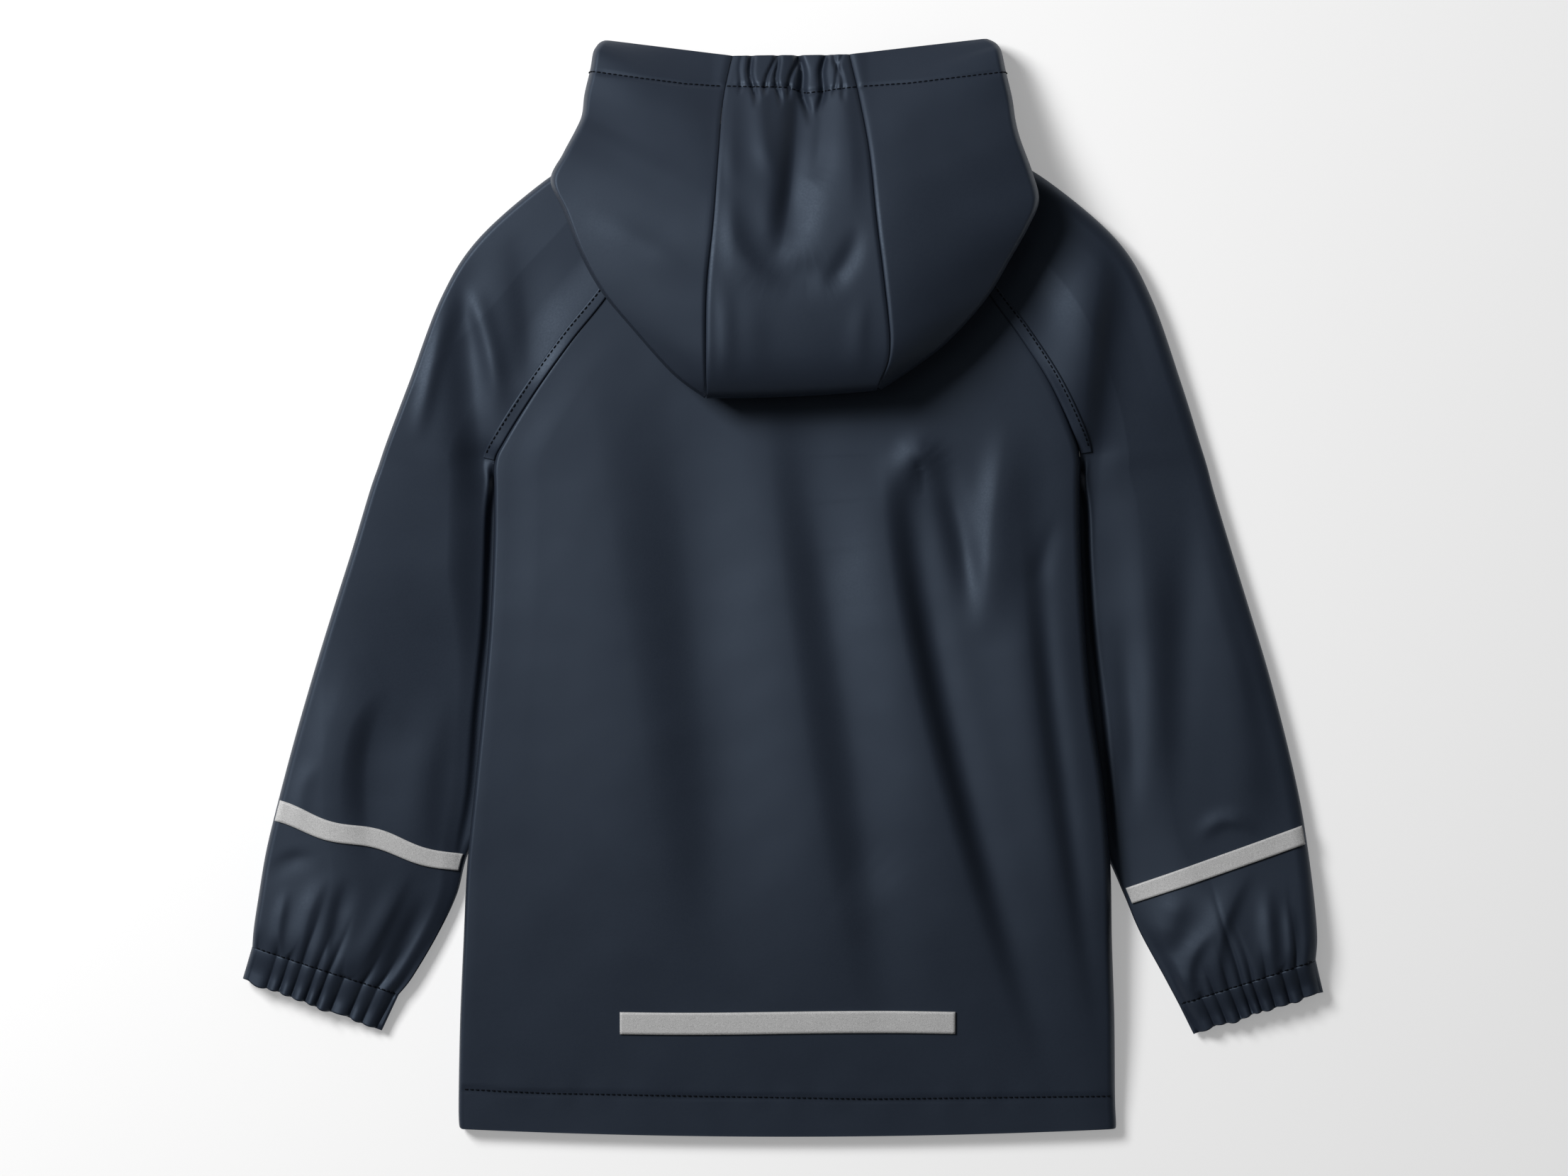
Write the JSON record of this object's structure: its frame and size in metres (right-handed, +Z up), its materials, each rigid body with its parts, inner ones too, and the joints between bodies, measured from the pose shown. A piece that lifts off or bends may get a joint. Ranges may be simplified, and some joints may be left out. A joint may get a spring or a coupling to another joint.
{
  "type": "child's hooded raincoat",
  "caption": "Child's long-sleeved hooded raincoat in coated cloth with raglan sleeves, gathered cuffs and reflective tapes, laid flat with its back up.",
  "frame": {"origin": "middle of the bounding box at its base, on the surface that the coat lies on", "axes": "+Z up from the surface, +Y from the hem towards the hood, +X towards the sleeve on the right of the picture"},
  "size_m": [0.5784, 0.5868, 0.0639],
  "materials": {
    "coated_cloth": "satin polyurethane coating, navy",
    "reflective_tape": "silver-grey, fine sparkle",
    "stud": "navy"
  },
  "bodies": {
    "root": {"back": "coated_cloth", "front_left": "coated_cloth", "front_right": "coated_cloth", "sleeve_left": "coated_cloth", "sleeve_right": "coated_cloth", "cuff_left": "coated_cloth", "cuff_right": "coated_cloth", "hood_strip": "coated_cloth", "hood_left": "coated_cloth", "hood_right": "coated_cloth", "band_left": "coated_cloth", "band_right": "coated_cloth", "tape_back": "reflective_tape", "tape_left": "reflective_tape", "tape_right": "reflective_tape", "stud_1": "stud", "stud_2": "stud", "stud_3": "stud", "stud_4": "stud", "stud_5": "stud"}
  },
  "joints": []
}
